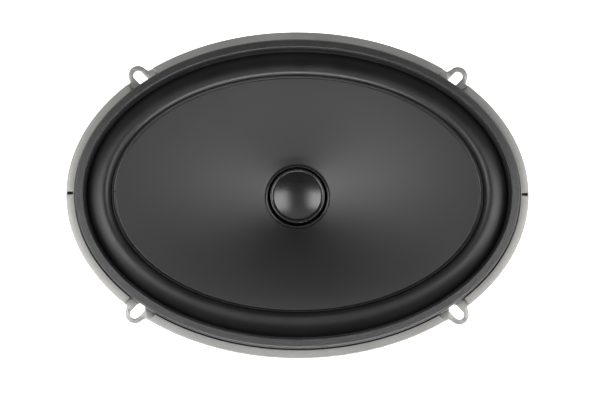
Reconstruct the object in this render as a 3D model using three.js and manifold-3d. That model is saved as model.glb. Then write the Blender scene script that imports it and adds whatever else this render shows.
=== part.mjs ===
// An oval "6 x 9 inch" two-way coaxial car loudspeaker, lying face up on the back of its magnet.
// Millimetres, +Z is the firing direction, +X the long way of the oval, z = 0 the rear face of the magnet boot.
import * as THREE from "three";
import { mergeVertices } from "three/addons/utils/BufferGeometryUtils.js";
import Module from "manifold-3d";

const wasm = await Module();
wasm.setup();

// ---------------------------------------------------------------- driving dimensions

const FLANGE_LENGTH = 235;
const FLANGE_WIDTH = 167.4;
const FLANGE_R = FLANGE_LENGTH / 2;
const OVAL_DIFFERENCE = (FLANGE_LENGTH - FLANGE_WIDTH) / 2;
const SEAT_Z = 77; // rear face of the flange, which rests on the baffle
const TAB_Z = SEAT_Z + 1.7; // front face of the four screw tabs
const BAND_Z = SEAT_Z + 3.6; // front face of the outer band
const LANDING_Z = SEAT_Z + 2.6; // where the surround is glued down
const LIP_Z = SEAT_Z + 8; // top of the lip that keeps the gasket centred
const LIP_THICKNESS = 0.7;
const GASKET_Z = SEAT_Z + 10.4; // front face of the gasket

const BAND_WIDTH = 4.2;
const GROOVE_WIDTH = 0.6;
const LANDING_IN = FLANGE_R - BAND_WIDTH - GROOVE_WIDTH;
const RIM_IN = FLANGE_R - 10.8;
const SKIRT_OUT = FLANGE_R - 8.8;

const COIL_R = 15.6; // inside of the woofer's voice-coil former
const NECK_R = 16.3;
const NECK_Z = 69;
const CONE_R = FLANGE_R - 23;
const CONE_Z = 81.2;
const CONE_CURVE = 1.4; // 1 is a straight cone; more is steeper at the neck and flatter at the edge
const TWEETER_R = 13.9;
const TWEETER_Z = 73; // front of the tweeter's bezel

const PLATE_R = 48;
const MAGNET_R = 50;
const BOOT_R = 52;
const YOKE_Z = 1.8;
const PLATE_THICKNESS = 6;
const MAGNET_THICKNESS = 16;
const JOINT_GAP = 0.3; // glue line between touching pieces
const MAGNET_Z = YOKE_Z + PLATE_THICKNESS + JOINT_GAP;
const TOP_PLATE_Z = MAGNET_Z + MAGNET_THICKNESS + JOINT_GAP;
const CUP_Z = TOP_PLATE_Z + PLATE_THICKNESS + JOINT_GAP; // bottom of the basket
const SPIDER_Z = 50; // where the spider's rim is glued to the basket

const OVAL_SEGMENTS = 48;
const ROUND_SEGMENTS = 28;
const SMALL_SEGMENTS = 16;

// ---------------------------------------------------------------- materials

const material = (color, roughness, metalness) =>
  new THREE.MeshStandardMaterial({ color, roughness, metalness });
const painted = material(0xa9a9a4, 0.5, 0.4);
const foam = material(0x3a3b3f, 0.95, 0);
const rubber = material(0x1d1d1e, 0.6, 0);
const polymer = material(0x2c2d2e, 0.45, 0);
const darkMetal = material(0x3b3d40, 0.35, 0.8);
const gloss = material(0x141416, 0.25, 0);
const steel = material(0xb4b6b8, 0.4, 0.9);
const ferrite = material(0x2b2a2a, 0.8, 0.1);
const copper = material(0xb06a3c, 0.35, 0.9);
const paper = material(0xb98a4e, 0.8, 0);
const cloth = material(0xc9a66b, 0.9, 0);
const phenolic = material(0x5a3a22, 0.7, 0);
const tinned = material(0xc8c8c4, 0.3, 0.9);
const sleeve = material(0x23406e, 0.4, 0);

const speaker = new THREE.Group();

function add(name, geometry, finish) {
  const mesh = new THREE.Mesh(geometry, finish);
  mesh.name = name;
  speaker.add(mesh);
  return mesh;
}

// ---------------------------------------------------------------- shape helpers

// Semi-axis along Y of the oval whose semi-axis along X is r: round at the neck, fully oval from the cone's edge out.
function shortAxis(r) {
  const share = THREE.MathUtils.clamp((r - NECK_R) / (CONE_R - NECK_R), 0, 1);
  return r - OVAL_DIFFERENCE * share;
}

// Distance from the axis to the oval of semi-axis r, in the direction angle.
function ovalReach(r, angle) {
  const b = shortAxis(r);
  return (r * b) / Math.hypot(b * Math.cos(angle), r * Math.sin(angle));
}

// A ring or disc turned about Z from a closed [r, z] outline, listed in either direction.
function turned(outline, segments = ROUND_SEGMENTS) {
  const points = outline.map(([r, z]) => new THREE.Vector2(r, z));
  if (THREE.ShapeUtils.isClockWise(points)) points.reverse();
  points.push(points[0].clone());
  return new THREE.LatheGeometry(points, segments).rotateX(Math.PI / 2);
}

// The same outline carried round the oval.
function ovalTurned(outline) {
  const geometry = turned(outline, OVAL_SEGMENTS);
  const at = geometry.getAttribute("position");
  for (let i = 0; i < at.count; i++) {
    const r = Math.hypot(at.getX(i), at.getY(i));
    at.setY(i, (at.getY(i) * shortAxis(r)) / r);
  }
  return geometry;
}

// The outline of a sheet of even thickness along a middle line of [r, z] points.
function sheet(middle, thickness) {
  const side = (sign) =>
    middle.map(([r, z], i) => {
      const [r0, z0] = middle[Math.max(i - 1, 0)];
      const [r1, z1] = middle[Math.min(i + 1, middle.length - 1)];
      const length = Math.hypot(r1 - r0, z1 - z0);
      const reach = (sign * thickness) / 2 / length;
      return [r - (z1 - z0) * reach, z + (r1 - r0) * reach];
    });
  return [...side(1), ...side(-1).reverse()];
}

function box(x0, x1, y0, y1, z0, z1) {
  return new THREE.BoxGeometry(x1 - x0, y1 - y0, z1 - z0).translate(
    (x0 + x1) / 2,
    (y0 + y1) / 2,
    (z0 + z1) / 2,
  );
}

function cylinder(radius, z0, z1, x = 0, y = 0, segments = SMALL_SEGMENTS) {
  return new THREE.CylinderGeometry(radius, radius, z1 - z0, segments)
    .rotateX(Math.PI / 2)
    .translate(x, y, (z0 + z1) / 2);
}

// A flat [r, z] outline stood in the plane of an angle about Z, as thick as width across that plane.
function fin(outline, width, angle) {
  const shape = new THREE.Shape(outline.map(([r, z]) => new THREE.Vector2(r, z)));
  return new THREE.ExtrudeGeometry(shape, { depth: width, bevelEnabled: false })
    .translate(0, 0, -width / 2)
    .rotateX(Math.PI / 2)
    .rotateZ(angle);
}

function wire(points, radius, steps, sides = 6) {
  const path = new THREE.CatmullRomCurve3(points.map((p) => new THREE.Vector3(...p)));
  const section = new THREE.Shape();
  for (let i = 0; i < sides; i++) {
    const turn = (2 * Math.PI * i) / sides;
    const corner = [radius * Math.cos(turn), radius * Math.sin(turn)];
    if (i) section.lineTo(...corner);
    else section.moveTo(...corner);
  }
  section.closePath();
  return new THREE.ExtrudeGeometry(section, { steps, extrudePath: path });
}

// ---------------------------------------------------------------- booleans

function solid(geometry) {
  const bare = geometry.clone();
  bare.deleteAttribute("normal");
  bare.deleteAttribute("uv");
  const merged = mergeVertices(bare, 1e-3);
  return new wasm.Manifold(
    new wasm.Mesh({
      numProp: 3,
      vertProperties: new Float32Array(merged.getAttribute("position").array),
      triVerts: new Uint32Array(merged.index.array),
    }),
  );
}

function geometryOf(manifold) {
  const mesh = manifold.getMesh();
  return new THREE.BufferGeometry()
    .setAttribute("position", new THREE.BufferAttribute(mesh.vertProperties, 3))
    .setIndex(new THREE.BufferAttribute(mesh.triVerts, 1));
}

const joined = (geometries) => geometries.map(solid).reduce((all, one) => all.add(one));
const cut = (body, geometries) =>
  geometries.map(solid).reduce((all, one) => all.subtract(one), body);

// ---------------------------------------------------------------- basket

// The four screw tabs, given by the centre of each slot's outer end. Every slot lies at 45 degrees.
const SLOT_X = 81.9;
const SLOT_Y = 61.2;
const SLOT_WIDTH = 5;
const SLOT_TRAVEL = 3.7; // between the centres of a slot's two round ends
const TAB_R = 4.9;
const TAB_ROOT = 9; // how far a tab reaches back into the flange
const RECESS_NEAR = 7.4; // the band stops this far from the slot's middle line, on the side nearer to the X axis
const RECESS_FAR = 7.8;

// Puts a geometry drawn with its slot along +X, outer end at the origin, onto one of the four corners.
function ontoTab(geometry, signX, signY) {
  const placed = geometry.rotateZ(Math.PI / 4).translate(SLOT_X, SLOT_Y, 0);
  placed.scale(signX, signY, 1);
  if (signX * signY < 0) {
    const index = placed.index ? placed : mergeVertices(placed, 1e-4);
    const corners = index.index.array;
    for (let i = 0; i < corners.length; i += 3)
      [corners[i + 1], corners[i + 2]] = [corners[i + 2], corners[i + 1]];
    return index;
  }
  return placed;
}

function tabShape() {
  const shape = new THREE.Shape();
  shape.absarc(0, 0, TAB_R, -Math.PI / 4, Math.PI / 2);
  shape.splineThru([
    new THREE.Vector2(-1.5, TAB_R + 0.4),
    new THREE.Vector2(-3.2, TAB_R + 1.4),
    new THREE.Vector2(-4.2, TAB_R + 2.9),
  ]);
  shape.lineTo(-TAB_ROOT, TAB_R + 4.6);
  shape.lineTo(-TAB_ROOT, -TAB_R - 4.1);
  shape.lineTo(-3, -TAB_R - 4.3);
  shape.lineTo(-1.2, -TAB_R - 2.8);
  shape.lineTo(-0.3, -TAB_R - 1);
  return shape;
}

function slotShape() {
  const r = SLOT_WIDTH / 2;
  const shape = new THREE.Shape();
  shape.absarc(0, 0, r, -Math.PI / 2, Math.PI / 2);
  shape.absarc(-SLOT_TRAVEL, 0, r, Math.PI / 2, (3 * Math.PI) / 2);
  return shape;
}

const extruded = (shape, z0, z1, curveSegments = 6) =>
  new THREE.ExtrudeGeometry(shape, {
    depth: z1 - z0,
    bevelEnabled: false,
    curveSegments,
  }).translate(0, 0, z0);

const corners = [
  [1, 1],
  [-1, 1],
  [-1, -1],
  [1, -1],
];

const NOTCH_LENGTH = 3.2; // index marks across the band, on the long axis
const NOTCH_WIDTH = 1.4;
const NOTCH_Z = SEAT_Z + 0.8;
const SKIRT_Z = 63.5; // lowest edge of the oval skirt
const LEDGE_R = 56.5; // outside of the round ledge that carries the spider
const SPOKE_ANGLES = [0, 57, 123, 180, 237, 303];
const WINDOW_ANGLES = [28.5, 90, 151.5, 208.5, 331.5];
const SCREW_R = 33; // of the circle of screws that hold the motor
const EAR_Z = 38;
const EAR_OUT = 70;
const TERMINAL_X = 9;
const RIVET_Y = -64;
const LEAD_Y = -53.4; // where the tweeter's lead climbs past the boot

function rim() {
  const band = ovalTurned([
    [FLANGE_R, TAB_Z - 0.5],
    [FLANGE_R, BAND_Z],
    [FLANGE_R - BAND_WIDTH, BAND_Z],
    [FLANGE_R - BAND_WIDTH, TAB_Z - 0.5],
  ]);
  const recesses = corners.map((corner) =>
    ontoTab(box(-14, 6, -RECESS_NEAR, RECESS_FAR, TAB_Z, BAND_Z + 1), ...corner),
  );
  const notches = [-1, 1].map((side) => {
    const x = side * (FLANGE_R - 0.6 - NOTCH_LENGTH / 2);
    return box(
      x - NOTCH_LENGTH / 2,
      x + NOTCH_LENGTH / 2,
      -NOTCH_WIDTH / 2,
      NOTCH_WIDTH / 2,
      NOTCH_Z,
      BAND_Z + 1,
    );
  });
  const body = ovalTurned([
    [FLANGE_R, SEAT_Z],
    [FLANGE_R, TAB_Z],
    [LANDING_IN, TAB_Z],
    [LANDING_IN, LIP_Z],
    [LANDING_IN - LIP_THICKNESS, LIP_Z],
    [LANDING_IN - LIP_THICKNESS, LANDING_Z],
    [RIM_IN, LANDING_Z],
    [RIM_IN, SEAT_Z],
    [FLANGE_R - 13.4, SKIRT_Z + 3],
    [FLANGE_R - 13.4, SKIRT_Z],
    [FLANGE_R - 10.6, SKIRT_Z],
    [FLANGE_R - 10.6, SKIRT_Z + 3],
    [SKIRT_OUT, SEAT_Z],
  ]);
  const tabs = corners.map((corner) =>
    ontoTab(extruded(tabShape(), SEAT_Z, TAB_Z), ...corner),
  );
  const slots = corners.map((corner) =>
    ontoTab(extruded(slotShape(), SEAT_Z - 5, TAB_Z + 0.01), ...corner),
  );
  const frame = cut(solid(band), recesses).add(solid(body)).add(joined(tabs));
  return cut(frame, [...slots, ...notches]);
}

// The round cup below the spider, with the flat seat that the motor is screwed to.
function cup() {
  const outline = [
    [21, CUP_Z],
    [49.5, CUP_Z],
    [52, SPIDER_Z - 3.5],
    [LEDGE_R, SPIDER_Z - 3.5],
    [LEDGE_R, SPIDER_Z],
    [49, SPIDER_Z],
    [47.2, CUP_Z + 2.3],
    [21, CUP_Z + 2.3],
  ];
  const windows = WINDOW_ANGLES.map((angle) =>
    box(44, 58, -8, 8, CUP_Z + 4, SPIDER_Z - 6).rotateZ(THREE.MathUtils.degToRad(angle)),
  );
  return cut(solid(turned(outline)), windows);
}

function spoke(degrees) {
  const angle = THREE.MathUtils.degToRad(degrees);
  const reach = ovalReach(FLANGE_R - 12, angle);
  const strap = [
    [reach + 1, SKIRT_Z + 3],
    [reach - 1.4, SKIRT_Z + 3],
    [LEDGE_R - 1, SPIDER_Z],
    [51, SPIDER_Z],
    [51, SPIDER_Z - 3.5],
    [LEDGE_R, SPIDER_Z - 3.5],
    [reach + 1, SKIRT_Z],
  ];
  const rib = [
    [50.5, SPIDER_Z - 3.3],
    [50.5, CUP_Z + 6],
    [reach, SKIRT_Z + 1],
  ];
  return [fin(strap, degrees % 180 ? 13 : 16, angle), fin(rib, 2.6, angle)];
}

const screwPlaces = [45, 135, 225, 315].map((degrees) => {
  const angle = THREE.MathUtils.degToRad(degrees);
  return [SCREW_R * Math.cos(angle), SCREW_R * Math.sin(angle)];
});

function basket() {
  const ear = box(-15, 15, -EAR_OUT, -50, EAR_Z, EAR_Z + 2);
  const holes = [
    ...screwPlaces.map(([x, y]) => cylinder(2.3, CUP_Z - 1, CUP_Z + 4, x, y, 12)),
    ...[-TERMINAL_X, TERMINAL_X].map((x) =>
      cylinder(1.6, EAR_Z - 1, EAR_Z + 3, x, RIVET_Y, 12),
    ),
    cylinder(1.4, EAR_Z - 1, EAR_Z + 3, 0, LEAD_Y, 12),
  ];
  const arms = joined(SPOKE_ANGLES.flatMap(spoke));
  return geometryOf(cut(rim().add(cup()).add(arms).add(solid(ear)), holes));
}

add("basket", basket(), painted);

// ---------------------------------------------------------------- gasket, surround, cone, spider

const GASKET_OUT = LANDING_IN - LIP_THICKNESS - JOINT_GAP;
const GASKET_IN = FLANGE_R - 9.3;
const SURROUND_THICKNESS = 0.7;
const ROLL_OUT = FLANGE_R - 10.6;
const ROLL_IN = FLANGE_R - 22.6;
const ROLL_HEIGHT = 4.2;
const INNER_FOOT_Z = SEAT_Z + 5.25; // where the surround is glued to the cone
const SURROUND_IN = FLANGE_R - 24.6;

add(
  "gasket",
  ovalTurned([
    [GASKET_OUT, LANDING_Z + 1],
    [GASKET_OUT, LIP_Z + JOINT_GAP],
    [LANDING_IN, LIP_Z + JOINT_GAP],
    [LANDING_IN, GASKET_Z],
    [GASKET_IN, GASKET_Z],
    [GASKET_IN, LANDING_Z + 1],
  ]),
  foam,
);

const SURROUND_Z = LANDING_Z + 0.2 + SURROUND_THICKNESS / 2;
function surroundMiddle() {
  const steps = 6;
  const roll = Array.from({ length: steps + 1 }, (_, i) => {
    const share = i / steps;
    const r = THREE.MathUtils.lerp(ROLL_OUT, ROLL_IN, 0.5 - 0.5 * Math.cos(Math.PI * share));
    const foot = THREE.MathUtils.lerp(SURROUND_Z, INNER_FOOT_Z, share);
    return [r, foot + ROLL_HEIGHT * Math.sin(Math.PI * share)];
  });
  return [[GASKET_OUT - 0.4, SURROUND_Z], ...roll, [SURROUND_IN, INNER_FOOT_Z]];
}
add("surround", ovalTurned(sheet(surroundMiddle(), SURROUND_THICKNESS)), rubber);

const CONE_THICKNESS = 0.9;
// Height of the cone's middle surface at semi-axis r.
function coneHeight(r) {
  const share = (r - NECK_R) / (CONE_R - NECK_R);
  return NECK_Z + (CONE_Z - NECK_Z) * (1 - (1 - share) ** CONE_CURVE);
}
function coneMiddle() {
  const steps = 6;
  const flare = Array.from({ length: steps + 1 }, (_, i) => {
    const r = THREE.MathUtils.lerp(NECK_R + 1.2, CONE_R, (i / steps) ** 1.3);
    return [r, coneHeight(r)];
  });
  const neck = NECK_R + 0.6;
  return [[neck, NECK_Z - 5], [neck, NECK_Z - 1.6], ...flare];
}
add("cone", ovalTurned(sheet(coneMiddle(), CONE_THICKNESS)), polymer);

add(
  "cone_neck_ring",
  turned([
    [15.2, NECK_Z - 0.4],
    [15.2, NECK_Z + 0.6],
    [15.7, NECK_Z + 1],
    [NECK_R, NECK_Z + 0.6],
    [NECK_R, NECK_Z - 0.4],
  ]),
  gloss,
);

const FORMER_BOTTOM = TOP_PLATE_Z - 4;
add(
  "voice_coil_former",
  turned([
    [COIL_R, FORMER_BOTTOM],
    [COIL_R + 0.5, FORMER_BOTTOM],
    [COIL_R + 0.5, NECK_Z - 0.7],
    [COIL_R, NECK_Z - 0.7],
  ]),
  paper,
);

const WINDING_HEIGHT = 12;
const windingZ = TOP_PLATE_Z + PLATE_THICKNESS / 2 - WINDING_HEIGHT / 2;
add(
  "voice_coil_winding",
  turned([
    [COIL_R + 0.65, windingZ],
    [COIL_R + 1.4, windingZ],
    [COIL_R + 1.4, windingZ + WINDING_HEIGHT],
    [COIL_R + 0.65, windingZ + WINDING_HEIGHT],
  ]),
  copper,
);

const SPIDER_THICKNESS = 0.7;
const SPIDER_ROLLS = 4;
function spiderMiddle() {
  const inner = COIL_R + 0.5 + JOINT_GAP + SPIDER_THICKNESS / 2;
  const z = SPIDER_Z + 0.2 + SPIDER_THICKNESS / 2;
  const halves = SPIDER_ROLLS * 2;
  const waves = Array.from({ length: halves }, (_, i) => [
    THREE.MathUtils.lerp(20, 48, (i + 0.5) / halves),
    z + (i % 2 ? 1.4 : -1.4),
  ]);
  return [[inner, z + 3], [inner, z + 0.2], ...waves, [49.5, z], [LEDGE_R - 2, z]];
}
add("spider", turned(sheet(spiderMiddle(), SPIDER_THICKNESS)), cloth);

// ---------------------------------------------------------------- motor

const GAP_OUT = COIL_R + 2;
const POLE_R = COIL_R - 0.6;
const POST_BORE = 4.6;
const COUNTERBORE_R = 10;
const COUNTERBORE_Z = 6.5;

const topPlate = solid(
  turned([
    [GAP_OUT, TOP_PLATE_Z],
    [PLATE_R, TOP_PLATE_Z],
    [PLATE_R, TOP_PLATE_Z + PLATE_THICKNESS],
    [GAP_OUT, TOP_PLATE_Z + PLATE_THICKNESS],
  ]),
);
const screwHoles = screwPlaces.map(([x, y]) =>
  cylinder(2.3, TOP_PLATE_Z - 1, CUP_Z + 1, x, y, 12),
);
add("top_plate", geometryOf(cut(topPlate, screwHoles)), steel);

add(
  "magnet",
  turned([
    [24, MAGNET_Z],
    [MAGNET_R, MAGNET_Z],
    [MAGNET_R, MAGNET_Z + MAGNET_THICKNESS],
    [24, MAGNET_Z + MAGNET_THICKNESS],
  ]),
  ferrite,
);

const poleTop = TOP_PLATE_Z + PLATE_THICKNESS + 3.4;
add(
  "yoke",
  turned([
    [COUNTERBORE_R, YOKE_Z],
    [PLATE_R, YOKE_Z],
    [PLATE_R, YOKE_Z + PLATE_THICKNESS],
    [POLE_R, YOKE_Z + PLATE_THICKNESS],
    [POLE_R, poleTop],
    [POST_BORE, poleTop],
    [POST_BORE, COUNTERBORE_Z],
    [COUNTERBORE_R, COUNTERBORE_Z],
  ]),
  steel,
);

const bootBody = solid(
  turned([
    [34, 0],
    [BOOT_R - 1, 0],
    [BOOT_R, 1],
    [BOOT_R, TOP_PLATE_Z + 1.6],
    [PLATE_R + 0.4, TOP_PLATE_Z + 1.6],
    [PLATE_R + 0.4, TOP_PLATE_Z],
    [MAGNET_R + 0.3, TOP_PLATE_Z],
    [MAGNET_R + 0.3, 1.5],
    [34, 1.5],
  ]),
);
const leadChannel = box(-1.6, 1.6, -BOOT_R - 1, -33, -1, 2.6);
add("magnet_boot", geometryOf(cut(bootBody, [leadChannel])), rubber);

screwPlaces.forEach(([x, y], i) => {
  const head = CUP_Z + 2.3 + 0.1;
  const screw = turned(
    [
      [0, TOP_PLATE_Z + 0.5],
      [1.9, TOP_PLATE_Z + 0.5],
      [1.9, head],
      [4, head],
      [4, head + 1.2],
      [2.6, head + 2.4],
      [0, head + 2.4],
    ],
    12,
  );
  add(`motor_screw_${i + 1}`, screw.translate(x, y, 0), tinned);
});

// ---------------------------------------------------------------- tweeter and its post

const DOME_R = 11.95;
const DOME_EDGE_Z = TWEETER_Z - 1.1;
const DOME_HEIGHT = 2.8;
const DOME_THICKNESS = 0.4;
const WIRE_BORE = 1.8;
const postTop = TWEETER_Z - 13;

add(
  "tweeter_post",
  turned(
    [
      [WIRE_BORE, 3.4],
      [4.2, 3.4],
      [4.2, poleTop + JOINT_GAP],
      [6.5, poleTop + JOINT_GAP],
      [6.5, postTop - 4],
      [10, postTop - 2.4],
      [10, postTop],
      [WIRE_BORE, postTop],
    ],
    SMALL_SEGMENTS,
  ),
  gloss,
);

add(
  "post_washer",
  turned(
    [
      [4.6, COUNTERBORE_Z - 1.2],
      [8, COUNTERBORE_Z - 1.2],
      [8, COUNTERBORE_Z - 0.2],
      [4.6, COUNTERBORE_Z - 0.2],
    ],
    SMALL_SEGMENTS,
  ),
  tinned,
);

function hexNut(acrossFlats, bore, z0, z1) {
  const corner = acrossFlats / Math.sqrt(3);
  const points = Array.from({ length: 6 }, (_, i) => {
    const turn = (Math.PI / 3) * i;
    return new THREE.Vector2(corner * Math.cos(turn), corner * Math.sin(turn));
  });
  const shape = new THREE.Shape(points);
  shape.holes.push(new THREE.Path().absarc(0, 0, bore, 0, 2 * Math.PI, true));
  return extruded(shape, z0, z1, 10);
}
add("post_nut", hexNut(12, 4.5, 2, COUNTERBORE_Z - 1.4), tinned);

const cupTop = TWEETER_Z - 2.6;
const cupFloor = postTop + JOINT_GAP;
add(
  "tweeter_cup",
  turned([
    [2, cupFloor],
    [13.2, cupFloor],
    [13.2, cupTop],
    [12.2, cupTop],
    [12.2, cupFloor + 1.8],
    [2, cupFloor + 1.8],
  ]),
  steel,
);
const tweeterMagnetZ = cupFloor + 2;
add(
  "tweeter_magnet",
  turned([
    [2, tweeterMagnetZ],
    [10, tweeterMagnetZ],
    [10, tweeterMagnetZ + 4],
    [2, tweeterMagnetZ + 4],
  ]),
  tinned,
);
const tweeterPlateZ = tweeterMagnetZ + 4.2;
add(
  "tweeter_pole_plate",
  turned([
    [2, tweeterPlateZ],
    [10.7, tweeterPlateZ],
    [10.7, tweeterPlateZ + 2.2],
    [2, tweeterPlateZ + 2.2],
  ]),
  steel,
);
const tweeterCoilZ = tweeterPlateZ - 1.2;
add(
  "tweeter_voice_coil",
  turned([
    [11.05, tweeterCoilZ],
    [11.8, tweeterCoilZ],
    [11.8, DOME_EDGE_Z - 0.5],
    [11.05, DOME_EDGE_Z - 0.5],
  ]),
  copper,
);

function domeOutline() {
  const radius = (DOME_R ** 2 + DOME_HEIGHT ** 2) / (2 * DOME_HEIGHT);
  const reach = Math.asin(DOME_R / radius);
  const centre = DOME_EDGE_Z + DOME_HEIGHT - radius;
  const arc = (r) =>
    Array.from({ length: 5 }, (_, i) => {
      const turn = (reach * i) / 4;
      return [r * Math.sin(turn), centre + r * Math.cos(turn)];
    });
  return [...arc(radius), ...arc(radius - DOME_THICKNESS).reverse()];
}
add("tweeter_dome", turned(domeOutline()), darkMetal);

add(
  "tweeter_surround",
  turned([
    [DOME_R + 0.2, DOME_EDGE_Z - 1.1],
    [13.2, DOME_EDGE_Z - 1.1],
    [13.2, DOME_EDGE_Z - 0.2],
    [DOME_R + 0.2, DOME_EDGE_Z - 0.2],
  ]),
  rubber,
);

add(
  "tweeter_bezel",
  turned([
    [12.3, DOME_EDGE_Z],
    [13.5, DOME_EDGE_Z],
    [13.5, cupFloor],
    [TWEETER_R, cupFloor],
    [TWEETER_R, TWEETER_Z - 0.5],
    [13.5, TWEETER_Z],
    [12.8, TWEETER_Z],
    [12.3, TWEETER_Z - 0.5],
  ]),
  gloss,
);

// ---------------------------------------------------------------- terminals, capacitor and leads

const BOARD_Z = EAR_Z + 2.3;
const BOARD_THICKNESS = 2;
const BOARD_IN = -55;
const BLADE_Z = BOARD_Z + BOARD_THICKNESS + 0.3;
const BLADE_THICKNESS = 0.8;
const BLADE_TIP = -76;
const TAG_Y = -58; // inner face of the upturned tag that the tinsel lead is soldered to
const TAG_TOP = BLADE_Z + 4.4;
const RIVET_R = 1.3;

const boardHoles = [-TERMINAL_X, TERMINAL_X].map((x) =>
  cylinder(RIVET_R + 0.3, BOARD_Z - 1, BOARD_Z + 3, x, RIVET_Y, 12),
);
const board = box(-15, 15, -EAR_OUT - 0.5, BOARD_IN, BOARD_Z, BOARD_Z + BOARD_THICKNESS);
add("terminal_board", geometryOf(cut(solid(board), boardHoles)), phenolic);

function terminal(x, width) {
  const outline = [
    [BLADE_TIP, BLADE_Z],
    [TAG_Y, BLADE_Z],
    [TAG_Y, TAG_TOP],
    [TAG_Y - BLADE_THICKNESS, TAG_TOP],
    [TAG_Y - BLADE_THICKNESS, BLADE_Z + BLADE_THICKNESS],
    [BLADE_TIP, BLADE_Z + BLADE_THICKNESS],
  ];
  const blade = fin(outline, width, Math.PI / 2).translate(x, 0, 0);
  const hole = cylinder(RIVET_R + 0.3, BLADE_Z - 1, BLADE_Z + 2, x, RIVET_Y, 12);
  const seat = cylinder(2.9, BLADE_Z, BLADE_Z + BLADE_THICKNESS, x, RIVET_Y, 12);
  return geometryOf(cut(joined([blade, seat]), [hole]));
}
add("terminal_positive", terminal(-TERMINAL_X, 4.8), tinned);
add("terminal_negative", terminal(TERMINAL_X, 2.8), tinned);

function rivet(x) {
  const top = BLADE_Z + BLADE_THICKNESS + 0.2;
  const outline = [
    [0, EAR_Z - 1],
    [2.3, EAR_Z - 1],
    [2.3, EAR_Z - 0.2],
    [RIVET_R, EAR_Z - 0.2],
    [RIVET_R, top],
    [2.2, top],
    [2.2, top + 0.6],
    [0, top + 1],
  ];
  return turned(outline, 12).translate(x, RIVET_Y, 0);
}
add("terminal_rivet_positive", rivet(-TERMINAL_X), tinned);
add("terminal_rivet_negative", rivet(TERMINAL_X), tinned);

const CAPACITOR_R = 4.5;
const capacitorZ = BOARD_Z + BOARD_THICKNESS + 0.3 + CAPACITOR_R;
const CAPACITOR_IN = -57.6;
const CAPACITOR_LENGTH = 13;
add(
  "capacitor",
  cylinder(CAPACITOR_R, 0, CAPACITOR_LENGTH, 0, 0, 16)
    .rotateX(Math.PI / 2)
    .translate(0, CAPACITOR_IN, capacitorZ),
  sleeve,
);

const LEAD_R = 0.7;
add(
  "tweeter_lead",
  wire(
    [
      [0, 0, 67],
      [0, 0, 30],
      [0, 0, 12],
      [0, -0.4, 3],
      [0, -2.6, 1.1],
      [0, -12, 0.95],
      [0, -30, 0.95],
      [0, -48, 0.95],
      [0, LEAD_Y + 1.2, 1.3],
      [0, LEAD_Y, 4],
      [0, LEAD_Y, 18],
      [0, LEAD_Y, 34],
      [0, LEAD_Y, 40],
      [0, LEAD_Y - 0.8, 43.4],
      [0, CAPACITOR_IN + 0.4, 45],
    ],
    LEAD_R,
    48,
  ),
  rubber,
);

const TINSEL_R = 0.7;
function tinsel(side) {
  const x = side * TERMINAL_X;
  return wire(
    [
      [x, TAG_Y + 1, TAG_TOP - 2],
      [x, TAG_Y + 1, TAG_TOP + 1.5],
      [x, TAG_Y + 1, TAG_TOP + 5],
      [x, -50, 60],
      [x * 0.95, -40, 62.5],
      [x * 0.9, -30, 61],
      [x * 0.85, -22, 62],
      [x * 0.8, -17.4, 65],
    ],
    TINSEL_R,
    20,
  );
}
add("tinsel_lead_positive", tinsel(-1), copper);
add("tinsel_lead_negative", tinsel(1), copper);

export default speaker;
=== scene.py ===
# Oval two-way coaxial car speaker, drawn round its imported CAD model. Lengths are millimetres until MM turns them to metres.
import math

import bmesh
import bpy
from mathutils import Matrix, Vector
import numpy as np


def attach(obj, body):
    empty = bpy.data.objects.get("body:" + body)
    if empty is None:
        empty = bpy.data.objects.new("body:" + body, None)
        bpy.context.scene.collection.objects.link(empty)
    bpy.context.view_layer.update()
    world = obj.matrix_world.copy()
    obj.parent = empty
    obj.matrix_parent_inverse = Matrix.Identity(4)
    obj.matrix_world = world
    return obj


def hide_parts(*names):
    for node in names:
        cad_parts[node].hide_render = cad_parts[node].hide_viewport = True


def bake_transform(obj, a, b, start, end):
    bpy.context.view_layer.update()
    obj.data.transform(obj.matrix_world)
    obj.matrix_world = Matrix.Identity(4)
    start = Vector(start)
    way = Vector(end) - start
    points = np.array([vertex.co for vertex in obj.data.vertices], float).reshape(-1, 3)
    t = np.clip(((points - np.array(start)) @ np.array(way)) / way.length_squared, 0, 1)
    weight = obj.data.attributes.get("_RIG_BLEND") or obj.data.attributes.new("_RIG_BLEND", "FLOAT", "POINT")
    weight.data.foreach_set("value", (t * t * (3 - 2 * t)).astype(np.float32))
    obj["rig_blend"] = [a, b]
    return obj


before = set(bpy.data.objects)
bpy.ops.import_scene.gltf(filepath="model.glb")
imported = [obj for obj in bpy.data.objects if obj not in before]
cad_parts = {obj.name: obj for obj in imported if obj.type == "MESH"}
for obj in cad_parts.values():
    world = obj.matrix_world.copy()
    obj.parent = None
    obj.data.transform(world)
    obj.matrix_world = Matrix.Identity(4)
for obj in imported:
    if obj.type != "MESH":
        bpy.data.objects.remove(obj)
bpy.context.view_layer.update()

MM = 0.001
FLANGE_R = 117.5
OVAL_DIFFERENCE = 33.8
NECK_R = 16.3
CONE_R = 94.5
SEAT_Z, TAB_Z, BAND_Z, LIP_Z, GASKET_Z = 77.0, 78.7, 80.6, 85.0, 87.4
BAND_IN = FLANGE_R - 4.2
LIP_OUT = FLANGE_R - 4.8
GASKET_OUT, GASKET_IN = FLANGE_R - 5.2, FLANGE_R - 9.3
RIM_IN = FLANGE_R - 10.8
LANDING_Z = SEAT_Z + 2.6
NECK_Z, CONE_Z, CONE_CURVE = 69.0, 81.2, 1.4
TWEETER_Z = 73.0
CUP_Z, SPIDER_Z, SKIRT_Z = 30.7, 50.0, 63.5
COIL_R = 15.6

# ---------------------------------------------------------------- shapes


def short_axis(r):
    share = min(max((r - NECK_R) / (CONE_R - NECK_R), 0), 1)
    return r - OVAL_DIFFERENCE * share


def oval_reach(r, angle):
    b = short_axis(r)
    return r * b / math.hypot(b * math.cos(angle), r * math.sin(angle))


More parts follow.
